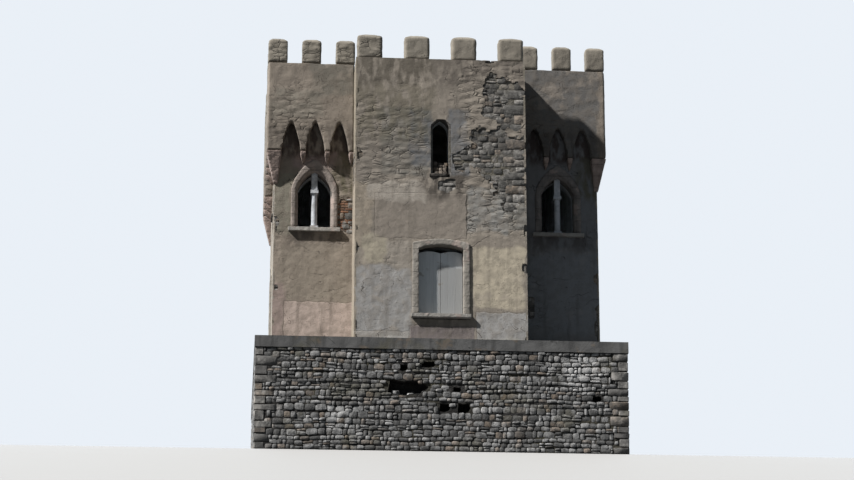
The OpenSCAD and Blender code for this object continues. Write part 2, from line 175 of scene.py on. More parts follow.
class Finish(NodeTree):
    """One finish: a shader and the nodes that feed it, on coordinates in the frame of one face."""

    def __init__(self, name, face=WHOLE):
        self.material = bpy.data.materials.new(name)
        self.material.use_nodes = True
        super().__init__(self.material.node_tree)
        self.shader = self.tree.nodes["Principled BSDF"]
        whole = self.node("ShaderNodeTexCoord").outputs["Object"]
        turn = self.node("ShaderNodeMapping", Vector=whole)
        turn.inputs["Rotation"].default_value = (0, 0, -math.radians(face.bearing))
        turn.inputs["Location"].default_value = (-face.along, face.distance, -PLATFORM)
        self.place = turn.outputs["Vector"]
        self.x, self.z = self.wandering(1.7, 0.55)
        self.even_x, self.even_z = self.wandering(4.0, 0.15)

    def wandering(self, scale, reach):
        """Coordinates along and up the wall that stray, so that what they place has uneven edges."""
        swirl = self.node("ShaderNodeTexNoise", Vector=self.place, Scale=scale, Detail=4.0)
        shift = self.node("ShaderNodeVectorMath", operation="SUBTRACT")
        self.feed(shift.inputs[0], swirl.outputs["Color"])
        shift.inputs[1].default_value = (0.5, 0.5, 0.5)
        stray = self.node("ShaderNodeVectorMath", operation="MULTIPLY_ADD")
        self.feed(stray.inputs[0], shift.outputs["Vector"])
        stray.inputs[1].default_value = (reach, reach, reach)
        self.feed(stray.inputs[2], self.place)
        parts = self.node("ShaderNodeSeparateXYZ", Vector=stray.outputs["Vector"])
        return parts.outputs["X"], parts.outputs["Z"]

    def stretched(self, stretch):
        if stretch == (1, 1, 1):
            return self.place
        mapping = self.node("ShaderNodeMapping", Vector=self.place)
        mapping.inputs["Scale"].default_value = stretch
        return mapping.outputs["Vector"]

    def noise(self, scale, detail=5.0, stretch=(1, 1, 1), distortion=0.0):
        vector = self.stretched(stretch)
        node = self.node("ShaderNodeTexNoise", Vector=vector, Scale=scale, Detail=detail)
        node.inputs["Distortion"].default_value = distortion
        return node.outputs["Fac"]

    def cells(self, scale, feature="F1", stretch=(1, 1, 1)):
        node = self.node("ShaderNodeTexVoronoi", Vector=self.stretched(stretch), Scale=scale)
        node.feature = feature
        return node.outputs["Distance"]

    def cell_tone(self, scale, stretch=(1, 1, 1)):
        node = self.node("ShaderNodeTexVoronoi", Vector=self.stretched(stretch), Scale=scale)
        return self.node("ShaderNodeSeparateColor", Color=node.outputs["Color"]).outputs["Red"]

    def each_stone(self):
        """A random value for each separate stone of a joined piece."""
        return self.node("ShaderNodeNewGeometry").outputs["Random Per Island"]

    def ramp(self, value, low, high, to_low=0.0, to_high=1.0):
        node = self.map_range(value, low, high, to_low, to_high)
        node.interpolation_type = "SMOOTHSTEP"
        return node.outputs["Result"]

    def size_of(self, value):
        return self.math("ABSOLUTE", value, 0.0)

    def times(self, *values):
        result = values[0]
        for value in values[1:]:
            result = self.math("MULTIPLY", result, value)
        return result

    def mix(self, amount, first, second):
        node = self.node("ShaderNodeMix")
        node.data_type = "RGBA"
        self.feed(node.inputs["Factor"], amount)
        self.feed(node.inputs[6], first)
        self.feed(node.inputs[7], second)
        return node.outputs[2]

    def band(self, value, low, high, edge):
        """1 between low and high, fading over edge."""
        rise = self.ramp(value, low - edge, low + edge)
        fall = self.ramp(value, high - edge, high + edge, 1, 0)
        return self.times(rise, fall)

    def area(self, left, right, low, high, edge=0.06):
        """1 inside a patch of the wall. A patch with a narrow edge keeps to its lines."""
        x, z = (self.x, self.z) if edge > STRAIGHT else (self.even_x, self.even_z)
        return self.times(self.band(x, left, right, edge), self.band(z, low, high, edge))

    def crack(self, left, low, right, high, width=0.022):
        """1 along a line that strays from one point of the wall to another."""
        run, rise = right - left, high - low
        length = math.hypot(run, rise)
        x = self.math("SUBTRACT", self.even_x, left)
        z = self.math("SUBTRACT", self.even_z, low)
        along = self.math("ADD", self.times(x, run / length), self.times(z, rise / length))
        across = self.math("SUBTRACT", self.times(z, run / length), self.times(x, rise / length))
        near = self.ramp(self.size_of(across), width * 0.3, width, 1, 0)
        return self.times(self.band(along, 0, length, 0.05), near)

    def hairlines(self, scale=1.1, width=0.004):
        """Thin cracks that start and stop."""
        field = self.noise(scale, 3.0, (1, 1, 1), 0.8)
        level = self.size_of(self.math("SUBTRACT", field, 0.5))
        line = self.ramp(level, width * 0.3, width, 1, 0)
        return self.times(line, self.ramp(self.noise(1.6, 3.0), 0.52, 0.60))

    def relief(self, height, depth, under=None):
        node = self.node("ShaderNodeBump", Height=height)
        node.inputs["Distance"].default_value = depth
        node.inputs["Strength"].default_value = 1
        if under is not None:
            self.feed(node.inputs["Normal"], under)
        return node.outputs["Normal"]

    def done(self, colour, roughness, normal):
        self.feed(self.shader.inputs["Base Color"], colour)
        self.feed(self.shader.inputs["Roughness"], roughness)
        self.feed(self.shader.inputs["Normal"], normal)
        self.shader.inputs["Specular IOR Level"].default_value = 0.25
        return self.material


MORTAR = paint(74, 70, 64)
SOOT = paint(58, 53, 50)
DAMP = paint(84, 80, 62)


def plaster(name, face, base, patches=(), stains_and_shade=(), thin=(), cracks=()):
    """Old plaster in patches of different mixes. The stones show through where it is thin."""
    f = Finish(name, face)
    clouds = f.noise(0.8, 6.0)
    mottle = f.noise(4.5, 6.0)
    grain = f.noise(42.0, 3.0)
    colour = f.mix(f.ramp(clouds, 0.38, 0.62), shade(base, 0.88), shade(base, 1.10))
    rough, rims = 1.0, 0.0
    for tone, left, right, low, high, *edge in patches:
        patch = f.area(left, right, low, high, *edge)
        colour = f.mix(patch, colour, paint(*tone))
        if edge:
            # A trowelled repair: smooth, with a line round it
            bare = f.math("SUBTRACT", 1.0, patch)
            rough = f.times(bare, rough)
            rims = f.math("MAXIMUM", f.times(patch, bare, 4.0), rims)
    colour = f.mix(f.ramp(mottle, 0.42, 0.62, 0.05, 0.40), colour, shade(base, 0.72))
    colour = f.mix(f.times(f.ramp(f.noise(2.1, 7.0), 0.56, 0.66, 0, 0.45), rough), colour, shade(base, 1.28))
    worn = f.ramp(f.noise(0.65, 5.0), 0.54, 0.68)
    for left, right, low, high in thin:
        worn = f.math("MAXIMUM", worn, f.area(left, right, low, high, 0.3))
    worn = f.times(worn, rough)
    bulges = f.cells(3.6, "SMOOTH_F1", (1, 1, 2.2))
    joints = f.times(worn, f.ramp(f.cells(3.6, "DISTANCE_TO_EDGE", (1, 1, 2.2)), 0.02, 0.10, 1, 0))
    joints = f.times(joints, f.ramp(f.noise(3.3, 5.0), 0.46, 0.60))
    colour = f.mix(f.times(worn, f.ramp(bulges, 0.30, 0.60, 0, 0.30)), colour, shade(base, 0.62))
    colour = f.mix(f.times(joints, 0.60), colour, shade(base, 0.42))
    streaks = f.noise(1.0, 5.0, (6.5, 6.5, 0.42))
    colour = f.mix(f.ramp(streaks, 0.52, 0.74, 0, 0.38), colour, shade(base, 0.52))
    # Stains of dirt and damp, and painted shade under cills and bays
    for tone, left, right, low, high, strength in stains_and_shade:
        drips = f.ramp(f.noise(3.2, 5.0, (1.6, 1.6, 0.7)), 0.36, 0.56)
        colour = f.mix(f.times(f.area(left, right, low, high, 0.16), drips, strength), colour, tone)
    pits = f.times(f.ramp(f.cells(19.0), 0.10, 0.19, 1, 0), f.ramp(f.noise(2.6, 4.0), 0.45, 0.58))
    colour = f.mix(f.times(pits, 0.75), colour, shade(base, 0.28))
    broken = f.hairlines()
    for line in cracks:
        broken = f.math("MAXIMUM", broken, f.crack(*line))
    colour = f.mix(f.times(broken, 0.8), colour, shade(base, 0.22))
    colour = f.mix(f.times(rims, 0.2), colour, shade(base, 0.5))
    colour = f.mix(f.ramp(grain, 0.3, 0.7, 0, 0.22), colour, shade(base, 0.66))
    height = f.math("ADD", f.times(mottle, 0.6), clouds)
    height = f.math("SUBTRACT", height, f.times(worn, bulges, 0.9))
    height = f.math("SUBTRACT", height, f.times(joints, 0.4))
    height = f.math("SUBTRACT", height, f.times(pits, 0.5))
    height = f.math("SUBTRACT", height, f.times(broken, 0.4))
    height = f.math("SUBTRACT", height, f.times(rims, 0.1))
    normal = f.relief(f.noise(95.0, 2.0), 0.002, f.relief(grain, 0.005, f.relief(height, 0.030)))
    return f.done(colour, f.ramp(mottle, 0.2, 0.8, 0.86, 0.98), normal)


def stone(name, dark, light, chalk=0.2, rough=0.012, smears=()):
    """Rough stones, each of its own tone, with a pale bloom, weathered pits and smears of lime."""
    f = Finish(name)
    tone = f.each_stone()
    colour = f.mix(f.ramp(tone, 0.0, 1.0), dark, light)
    some = f.math("FRACT", f.times(tone, 7.3), 0.0)
    colour = f.mix(f.ramp(some, 0.80, 0.92, 0, 0.6), colour, paint(128, 112, 96))
    colour = f.mix(f.ramp(f.noise(9.0, 6.0), 0.40, 0.62, 0, 0.7), colour, shade(dark, 0.72))
    colour = f.mix(f.ramp(f.noise(3.4, 6.0), 0.56, 0.66, 0, chalk * 2), colour, shade(light, 1.35))
    colour = f.mix(f.ramp(f.noise(1.3, 5.0), 0.55, 0.7, 0, 0.4), colour, DAMP)
    colour = f.mix(f.ramp(f.cells(30.0), 0.12, 0.24, 0.55, 0), colour, shade(dark, 0.45))
    for left, right, low, high in smears:
        patch = f.times(f.area(left, right, low, high, 0.12), f.ramp(f.noise(4.0, 5.0), 0.35, 0.55))
        colour = f.mix(f.times(patch, 0.75), colour, shade(light, 1.5))
    normal = f.relief(f.noise(26.0, 6.0), rough, f.relief(f.noise(7.0, 4.0), rough * 1.6))
    return f.done(colour, f.ramp(f.noise(14.0), 0.3, 0.7, 0.82, 0.97), normal)


def behind(f, value, face):
    """1 on the room's side of the middle of a wall whose outer face lies there."""
    return f.ramp(value, face - 0.34, face - 0.30, 1, 0)


def masonry(name, base, inside=None):
    """The raw wall behind the plaster, and the mortar between stones. The rooms are limewashed."""
    f = Finish(name)
    colour = f.mix(f.ramp(f.noise(6.0, 6.0), 0.35, 0.65), shade(base, 0.65), shade(base, 1.2))
    colour = f.mix(f.ramp(f.noise(1.1, 5.0), 0.5, 0.7, 0, 0.5), colour, DAMP)
    colour = f.mix(f.ramp(f.cells(14.0), 0.15, 0.32, 0.6, 0), colour, shade(base, 0.4))
    if inside:
        parts = f.node("ShaderNodeSeparateXYZ", Vector=f.place)
        x = f.size_of(parts.outputs["X"])
        y = f.size_of(parts.outputs["Y"])
        room = f.times(behind(f, x, MAIN_D), behind(f, y, CORNER_D))
        room = f.math("MAXIMUM", room, f.times(behind(f, x, MAIN_HALF), behind(f, y, MAIN_D)))
        room = f.times(room, f.ramp(parts.outputs["Z"], WALL_TOP - 0.20, WALL_TOP - 0.15, 1, 0))
        wash = f.mix(f.ramp(f.noise(1.4, 6.0), 0.4, 0.65), inside, shade(inside, 0.72))
        colour = f.mix(room, colour, wash)
    normal = f.relief(f.noise(30.0, 5.0), 0.02, f.relief(f.noise(8.0, 4.0), 0.03))
    return f.done(colour, f.ramp(f.noise(11.0), 0.3, 0.7, 0.88, 0.98), normal)


def dressed(name, base, face=WHOLE, course=0.32):
    """Dressed stone with joints between its blocks, rain marks and chipped grain."""
    f = Finish(name, face)
    level = f.node("ShaderNodeSeparateXYZ", Vector=f.place).outputs["Z"]
    row = f.math("FRACT", f.math("DIVIDE", level, course), 0.0)
    joint = f.ramp(f.size_of(f.math("SUBTRACT", row, 0.5)), 0.475, 0.495)
    tone = f.cell_tone(2.7, (1, 1, 1.2))
    colour = f.mix(tone, shade(base, 0.84), shade(base, 1.12))
    colour = f.mix(f.ramp(f.noise(7.0, 6.0), 0.42, 0.64, 0, 0.55), colour, shade(base, 0.66))
    colour = f.mix(f.ramp(f.noise(1.0, 5.0, (8, 8, 0.6)), 0.50, 0.70, 0, 0.5), colour, shade(base, 0.48))
    colour = f.mix(f.ramp(f.noise(3.0, 5.0), 0.58, 0.68, 0, 0.5), colour, paint(168, 150, 142))
    colour = f.mix(f.times(joint, 0.65), colour, MORTAR)
    colour = f.mix(f.ramp(f.cells(34.0), 0.10, 0.22, 0.5, 0), colour, shade(base, 0.4))
    height = f.math("SUBTRACT", f.noise(18.0, 5.0), f.times(joint, 0.9))
    normal = f.relief(height, 0.012, f.relief(f.noise(4.0, 3.0), 0.02))
    return f.done(colour, f.ramp(f.noise(9.0), 0.3, 0.7, 0.80, 0.95), normal)


def cement(name, base):
    """Trowelled cement with rust-brown marks, hairline cracks and dark damp."""
    f = Finish(name)
    clouds = f.noise(1.6, 6.0)
    colour = f.mix(f.ramp(clouds, 0.36, 0.64), shade(base, 0.78), shade(base, 1.14))
    colour = f.mix(f.ramp(f.noise(1.0, 5.0, (5, 5, 0.5)), 0.48, 0.68, 0, 0.65), colour, shade(base, 0.45))
    colour = f.mix(f.ramp(f.noise(2.7, 6.0), 0.58, 0.68, 0, 0.45), colour, paint(112, 98, 82))
    colour = f.mix(f.ramp(f.noise(0.7, 4.0), 0.54, 0.66, 0, 0.55), colour, DAMP)
    colour = f.mix(f.times(f.hairlines(0.9, 0.006), 0.8), colour, shade(base, 0.3))
    normal = f.relief(f.noise(36.0, 4.0), 0.006, f.relief(f.noise(5.0, 5.0), 0.015))
    return f.done(colour, f.ramp(clouds, 0.3, 0.7, 0.80, 0.95), normal)


def old_board(name, left_tone, right_tone, face):
    """Boards under faded paint, whose tone changes from the left leaf to the right one. The left leaf's tone
    stops short of its sunlit right edge, and also covers the top of the right leaf under the head's shadow;
    where that tone is lighter, it is painted light.
    """
    f = Finish(name, face)
    parts = f.node("ShaderNodeSeparateXYZ", Vector=f.place)
    # The left leaf's tone ends short of its right edge, where the sun reaches it: painted shade on that
    # strip.
    side = f.ramp(parts.outputs["X"], -0.13, -0.03)
    # The top of the right leaf, where the head's shadow falls, takes the left leaf's tone: painted light.
    painted_light_top = f.ramp(f.z, 2.06, 2.20)
    right = f.mix(painted_light_top, right_tone, shade(left_tone, 1.12))
    colour = f.mix(side, left_tone, right)
    each = f.each_stone()
    colour = f.mix(f.ramp(each, 0.0, 1.0, 0, 0.22), colour, shade(left_tone, 0.72))
    fibre = f.noise(3.0, 7.0, (14, 14, 0.7))
    colour = f.mix(f.ramp(fibre, 0.50, 0.70, 0, 0.25), colour, shade(left_tone, 0.62))
    colour = f.mix(f.ramp(f.noise(3.5, 6.0), 0.60, 0.68, 0, 0.5), colour, paint(120, 108, 92))
    clouds = f.noise(1.2, 4.0, (1.6, 1.6, 0.8))
    colour = f.mix(f.ramp(clouds, 0.52, 0.72, 0, 0.4), colour, shade(right_tone, 1.12))
    normal = f.relief(fibre, 0.003, f.relief(f.noise(40.0, 4.0, (6, 6, 0.5)), 0.002))
    return f.done(colour, f.ramp(fibre, 0.3, 0.7, 0.66, 0.88), normal)


def use(material, *names):
    """Gives solids of the model a finish in place of their plain one."""
    for name in names:
        for slot in nodes[name].material_slots:
            slot.material = material


# Modelling


def place_of(face, height=PLATFORM):
    """Where the frame of a face lies."""
    turn = Matrix.Rotation(math.radians(face.bearing), 4, "Z")
    return turn @ Matrix.Translation((face.along, -face.distance, height))


def pick(piece, wanted, mode="FACE"):
    """Goes into edit mode with the wanted faces or vertices selected."""
    bpy.ops.object.mode_set(mode="EDIT")
    bpy.ops.mesh.select_mode(type=mode)
    bpy.ops.mesh.select_all(action="DESELECT")
    bpy.ops.object.mode_set(mode="OBJECT")
    for part in piece.data.polygons if mode == "FACE" else piece.data.vertices:
        part.select = wanted(part)
    bpy.ops.object.mode_set(mode="EDIT")


def leave_edit():
    bpy.ops.object.mode_set(mode="OBJECT")


def edit_all():
    """Goes into edit mode with the whole piece selected."""
    bpy.ops.object.mode_set(mode="EDIT")
    bpy.ops.mesh.select_all(action="SELECT")


def select(*pieces):
    """Selects these pieces alone, with the first of them active."""
    bpy.ops.object.select_all(action="DESELECT")
    for piece in pieces:
        piece.select_set(True)
    bpy.context.view_layer.objects.active = pieces[0]


def apply_place():
    """Puts the place and the size of a new piece into its mesh."""
    bpy.ops.object.transform_apply(location=True, rotation=True, scale=True)
    return bpy.context.object


def settle(piece, name, material, place=None, smooth=True):
    """Names a finished piece, puts its place into its mesh and lets it ride on the tower."""
    select(piece)
    if place is not None:
        piece.data.transform(place)
    if smooth:
        bpy.ops.object.shade_smooth_by_angle(angle=math.radians(50))
    piece.name = name
    piece.data.name = name
    piece.data.materials.clear()
    piece.data.materials.append(material)
    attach(piece, "root")
    piece.select_set(False)


def join(pieces):
    """Joins copies into one piece."""
    select(*pieces)
    if len(pieces) > 1:
        bpy.ops.object.join()
    return bpy.context.object


def add_modifier(piece, kind, **settings):
    """Adds a modifier to the piece and applies it."""
    select(piece)
    modifier = piece.modifiers.new(kind.lower(), kind)
    for name, value in settings.items():
        setattr(modifier, name, value)
    bpy.ops.object.modifier_apply(modifier=modifier.name)


def lumps(size):
    texture = bpy.data.textures.new("lumps", "CLOUDS")
    texture.noise_scale = size
    texture.noise_depth = 3
    return texture


def model_stone(number, uneven=0.13, worn=0.18):
    """A stone one metre each way with uneven sides and worn edges."""
    bpy.ops.mesh.primitive_cube_add(size=1)
    block = bpy.context.object
    edit_all()
    bpy.ops.transform.vertex_random(offset=uneven, seed=number)
    bpy.ops.mesh.bevel(offset=worn, segments=1, affect="EDGES")
    bpy.ops.transform.vertex_random(offset=uneven * 0.25, seed=number + 40)
    leave_edit()
    return block


def copy_of(model, matrix):
    twin = model.copy()
    twin.data = model.data.copy()
    bpy.context.scene.collection.objects.link(twin)
    twin.data.transform(matrix)
    return twin


def courses(left, right, low, high, heights, lengths, dice):
    """The stones of a wall in wavy courses: the centre, width and height of each."""
    z = low
    while z < high - 0.03:
        height = min(dice.uniform(*heights), high - z)
        if high - z - height < heights[0] * 0.6:
            height = high - z
        x = left
        wave = dice.uniform(0, 6)
        while x < right - 0.02:
            width = min(dice.uniform(*lengths) * (0.8 + 1.2 * height), right - x)
            if right - x - width < lengths[0] * 0.7:
                width = right - x
            lift = 0.024 * math.sin(2.3 * x + wave) if low + 0.02 < z else 0.006
            middle = z + height / 2 + lift
            if height > 0.12 and dice.random() < 0.22:
                share = dice.uniform(0.35, 0.65)
                yield x + width / 2, middle - height / 2 * (1 - share), width, height * share
                yield x + width / 2, middle + height / 2 * share, width, height * (1 - share)
            else:
                yield x + width / 2, middle, width, height
            x += width
        z += height


def lay(models, stones, dice, proud, joint, tilt):
    """Copies a model stone into each place and joins them all."""
    copies = []
    for x, z, width, height in stones:
        out = dice.uniform(*proud)
        depth = out + BED_DEPTH
        turn = Matrix.Rotation(math.radians(dice.choice((0, 180)) + dice.uniform(-tilt, tilt)), 4, "Y")
        size = Matrix.Diagonal((width - joint, depth, height - joint, 1))
        place = Matrix.Translation((x, BED_DEPTH - depth / 2, z))
        copies.append(copy_of(dice.choice(models), place @ turn @ size))
        # Joining a few at a time is quicker than all at once
        if len(copies) == 80:
            copies = [join(copies)]
    return join(copies)


def block_at(models, dice, left, right, front, back, low, high):
    """A copy of a model stone between these bounds."""
    middle = Vector(((left + right) / 2, (front + back) / 2, (low + high) / 2))
    size = Matrix.Diagonal((right - left, back - front, high - low, 1))
    turn = Matrix.Rotation(math.radians(dice.choice((0, 180))), 4, "Y")
    return copy_of(dice.choice(models), Matrix.Translation(middle) @ size @ turn)


def in_any(ovals, x, z, grow=0.0):
    """Whether a point of a wall lies in one of the ovals, whose edges are ragged."""
    ragged = 0.55 * noise.noise(Vector((x * 2.4, 3.7, z * 2.4)))
    ragged += 0.25 * noise.noise(Vector((x * 9, 1.1, z * 9)))
    for cx, cz, rx, rz in ovals:
        reach = math.hypot((x - cx) / (rx + grow), (z - cz) / (rz + grow))
        if reach + ragged < 1:
            return True
    return False


def chipped(x, z, face, grow=0.0):
    """Whether the plaster has broken off there along the outer corners and the top of a face."""
    reach = face.top - z
    if face.outer[0]:
        reach = min(reach, face.half + x)
    if face.outer[1]:
        reach = min(reach, face.half - x)
    place = Vector((x * 1.9 + face.along, 8.2 + face.bearing, z * 2.6))
    return reach - grow < 0.30 * (noise.noise(place) - 0.20)


def behind_bay(face, x, z):
    """Whether a bay covers that point of a face."""
    return face.half == CORNER_D and abs(x) > SIDE_HALF and z > CORNER_TOP


def coat(name, face, openings, ovals, material):
    """A coat of plaster on a face, uneven, and broken off in the ovals and at the openings."""
    half = face.half + COAT
    across = round(2 * half / CELL)
    up = round(face.top / CELL)
    bpy.ops.mesh.primitive_grid_add(x_subdivisions=across, y_subdivisions=up, size=1)
    sheet = bpy.context.object
    sheet.data.transform(Matrix.Translation((0, -COAT, face.top / 2)) @ Matrix.Rotation(math.pi / 2, 4, "X")
                         @ Matrix.Diagonal((2 * half, face.top, 1, 1)))

    def missing(part):
        x, _, z = part.center
        if any(opening(x, z) for opening in openings) or behind_bay(face, x, z):
            return True
        return in_any(ovals, x, z) or chipped(x, z, face)

    pick(sheet, missing)
    bpy.ops.mesh.delete(type="FACE")
    leave_edit()
    edge = open_corners(sheet)
    inner = half - 0.01
    top = face.top - 0.01
    pick(sheet, lambda v: v.index in edge and abs(v.co.x) < inner and 0.01 < v.co.z < top, "VERT")
    bpy.ops.mesh.vertices_smooth(factor=0.5, repeat=2)
    leave_edit()
    add_modifier(sheet, "DISPLACE", texture=lumps(0.34), direction="Y", strength=0.016, mid_level=0.5)
    add_modifier(sheet, "SOLIDIFY", thickness=COAT + KEY, offset=-1)
    settle(sheet, name, material, place_of(face))


def open_corners(piece):
    """The vertices on the open edges of a sheet."""
    count = {}
    for face in piece.data.polygons:
        for key in face.edge_keys:
            count[key] = count.get(key, 0) + 1
    return {v for key, n in count.items() if n == 1 for v in key}


def worn_copy(node, material, voxel, depth, size, broken=None):
    """A copy of a solid with rounded edges and an uneven face, which stands for it."""
    piece = bpy.data.objects.new("worn_" + node, nodes[node].data.copy())
    bpy.context.scene.collection.objects.link(piece)
    select(piece)
    edit_all()
    bpy.ops.mesh.remove_doubles(threshold=0.0002)
    bpy.ops.mesh.normals_make_consistent(inside=False)
    leave_edit()
    if broken:
        wanted, move = broken
        pick(piece, wanted, "VERT")
        bpy.ops.transform.translate(value=move)
        leave_edit()
    add_modifier(piece, "REMESH", mode="VOXEL", voxel_size=voxel)
    add_modifier(piece, "SMOOTH", factor=0.5, iterations=2)
    add_modifier(piece, "DISPLACE", texture=lumps(size), strength=depth, mid_level=0.6)
    settle(piece, "worn_" + node, material)
    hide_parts(node)


def pointed(half, sides, rise, low, grow=0.0):
    """A test for the points inside an opening with straight sides and a pointed head."""
    def inside(x, z):
        x, z = abs(x), z - low
        if x > half + grow or z < -grow:
            return False
        if z <= sides:
            return True
        return z - sides < (rise + grow) * math.sqrt(max(0, 1 - (x / (half + grow)) ** 1.6))
    return inside


def oblong(left, right, low, high):
    return lambda x, z: left < x < right and low < z < high


# The walls' finishes. A patch is its colour, then left, right, bottom and top on the wall, and where
# it has straight lines the width of its edge. A stain, of dirt, damp or painted shade, is the same with its
# strength.

FRONT_PATCHES = [
    ((150, 140, 126), -2.40, -1.86, 2.60, 4.40),
    ((140, 139, 136), 0.70, 1.85, 3.10, 4.35),
    ((138, 130, 121), -1.78, 0.70, 2.86, 4.12, 0.025),
    ((162, 155, 146), -1.95, -0.42, 3.88, 4.44),
    ((152, 145, 136), -1.60, -0.75, 2.05, 2.80),
    ((168, 160, 143), -2.15, -1.50, 2.10, 2.90),
    ((153, 152, 151), -2.30, -0.80, 0.25, 2.05),
    ((186, 176, 157), 0.85, 2.25, 0.95, 2.65),
    ((156, 155, 154), 0.95, 2.40, 0.00, 0.85, 0.03),
    ((122, 114, 114), -0.85, 0.90, 0.00, 0.46, 0.03),
    ((156, 153, 149), -2.40, -0.85, 0.00, 0.28, 0.03),
    ((182, 180, 176), -2.40, -0.95, -0.10, 0.09),
    ((186, 184, 178), 1.10, 2.40, -0.10, 0.10),
    ((116, 113, 107), -1.70, -0.35, 4.60, 6.60),
    ((93, 96, 100), -0.88, -0.22, 4.85, 6.50),
    ((128, 121, 113), -2.40, -1.60, 4.45, 6.20),
    ((118, 117, 113), 1.80, 2.40, 3.20, 4.50),
    ((112, 114, 117), 0.22, 0.75, 4.62, 6.50),
]
LEFT_CORNER_PATCHES = [
    ((142, 133, 121), -0.90, 0.95, 1.45, 3.00),
    ((182, 166, 157), -0.78, 1.20, -0.20, 1.37, 0.02),
    ((152, 136, 130), -1.20, -0.80, -0.20, 1.90),
    ((128, 124, 112), -1.20, -0.62, 3.30, 5.00),
    ((146, 130, 126), -0.62, 0.62, 5.15, 5.60),
]
# The front-right corner wall's darker, bluer plaster is painted shade: that wall lies in the middle block's
# shadow.
PAINTED_SHADE_PATCHES = [
    ((124, 127, 131), -1.20, 1.20, 0.60, 2.90),
    ((113, 115, 118), -0.30, 1.20, 3.00, 5.00),
    ((122, 124, 126), -1.20, -0.20, -0.20, 0.80, 0.03),
]
PLAIN_PATCHES = [
    ((146, 143, 139), -1.40, 0.30, 0.20, 1.50),
    ((158, 149, 132), -0.60, 1.30, 2.20, 3.10),
    ((134, 126, 116), -1.50, 0.20, 3.60, 4.80),
    ((160, 148, 138), 0.50, 1.50, 0.00, 0.80, 0.03),
]
SIDE_PATCHES = PLAIN_PATCHES + [
    ((150, 141, 127), -3.20, -2.40, 2.40, 5.00),
    ((136, 130, 122), 1.60, 3.20, 1.20, 2.60),
    ((165, 156, 142), -2.60, -1.20, 0.00, 0.90, 0.03),
]
CROWN_PATCHES = [((132, 126, 116), -1.2, 0.2, 6.6, 7.4), ((110, 106, 98), -0.2, 1.4, 7.2, 8.2)]
# Darker plaster over the front of the front-right bay: painted shade.
PAINTED_SHADE_CROWN_PATCHES = [((98, 97, 96), -1.8, 1.12, 4.0, 9.0)]

LIMEWASH = paint(196, 200, 202)
FRONT_RUBBLE = stone("front_rubble", paint(82, 82, 82), paint(146, 146, 146),
                     smears=[(-2.95, -2.45, -2.45, -1.85), (3.2, 4.3, -1.3, -0.5)])
RUBBLE = stone("rubble", paint(82, 82, 82), paint(146, 146, 146))
WALL_STONE = stone("wall_rubble", paint(78, 77, 75), paint(142, 139, 135))
SLIT_RUBBLE = stone("slit_rubble", paint(66, 61, 56), paint(106, 98, 90))
QUOIN = stone("quoins", paint(92, 91, 90), paint(134, 132, 129), 0.3, 0.008)
BRICK = stone("brick", paint(98, 72, 58), paint(134, 100, 79), 0.2, 0.006)
BED = masonry("mortar_bed", paint(50, 49, 48))
FILL = masonry("plinth_filling", paint(88, 80, 68))
SLAB = cement("platform_cement", paint(90, 90, 90))
FLOOR = cement("floor_cement", paint(126, 122, 116))
PILLAR = stone("pillar_stone", paint(174, 178, 184), paint(188, 191, 196), 0.1, 0.005)
CORBEL = dressed("corbel_stone", paint(146, 131, 124))
CILL = dressed("cill_stone", paint(150, 147, 142), course=0.9)
SLIT_CILL = dressed("slit_cill_stone", paint(78, 74, 70))
JAMB = dressed("surround_stone", paint(142, 137, 130))
OAK = old_board("oak", paint(92, 76, 60), paint(104, 88, 70), MAIN_FACES["back"])
RAW_WALL = masonry("raw_wall", paint(102, 99, 95), LIMEWASH)

use(BED, "plinth_front_wall", "plinth_right_wall", "plinth_back_wall", "plinth_left_wall")
use(FILL, "plinth_fill")
use(SLAB, "platform_slab")
use(FLOOR, "first_floor", "roof_terrace")
use(PILLAR, "lancet_pillars")
use(CILL, "door_threshold")
use(RAW_WALL, *[f"{side}_wall" for side in MAIN_FACES], *[f"{side}_corner_wall" for side in CORNER_FACES])

# The crown, the corbels and the dressed stone, all with rounded and chipped edges

for side, face in CORNER_FACES.items():
    # The front-right bay and its window hood take darker tones: painted shade.
    in_painted_shade = side == "front_right"
    # Soot on the lower part of each bay, and painted shade under the bay and in its arches.
    crown = plaster(f"{side}_bay_plaster", face, paint(134, 125, 115),
                    PAINTED_SHADE_CROWN_PATCHES if in_painted_shade else CROWN_PATCHES,
                    [(SOOT, -9, 9, 5.5, 6.4, 0.5)], [(-1.3, 0.2, 5.9, 7.1)])
    worn_copy(f"{side}_bay", crown, 0.045, 0.026, 0.30)
    worn_copy(f"{side}_corbels", CORBEL, 0.024, 0.014, 0.12)
    hood = dressed(f"{side}_hood_stone", paint(120, 115, 112) if in_painted_shade else paint(134, 125, 119), face)
    worn_copy(f"{side}_lancet_surround", hood, 0.024, 0.012, 0.15)
CROWN = plaster("parapet_plaster", WHOLE, paint(130, 124, 114), thin=[(-9, -1, -9, 9), (0.5, 9, -9, 7.4)])
for side in MAIN_FACES:
    worn_copy(f"{side}_parapet", CROWN, 0.045, 0.020, 0.30)
worn_copy("wall_merlons", CROWN, 0.042, 0.030, 0.20)
worn_copy("bay_merlons", CROWN, 0.042, 0.030, 0.20)
worn_copy("window_surrounds", JAMB, 0.024, 0.012, 0.15)
worn_copy("window_cills", CILL, 0.020, 0.012, 0.12)
worn_copy("door_surround", JAMB, 0.024, 0.012, 0.15)
worn_copy("lancet_cills", CILL, 0.020, 0.012, 0.12)
# The right end of the front slit's cill has broken off
worn_copy("slit_cills", SLIT_CILL, 0.018, 0.014, 0.10,
          (lambda v: v.co.y < -MAIN_D - 0.005 and v.co.x > 0.2, (-0.17, 0.05, 0.02)))

# The coats of plaster

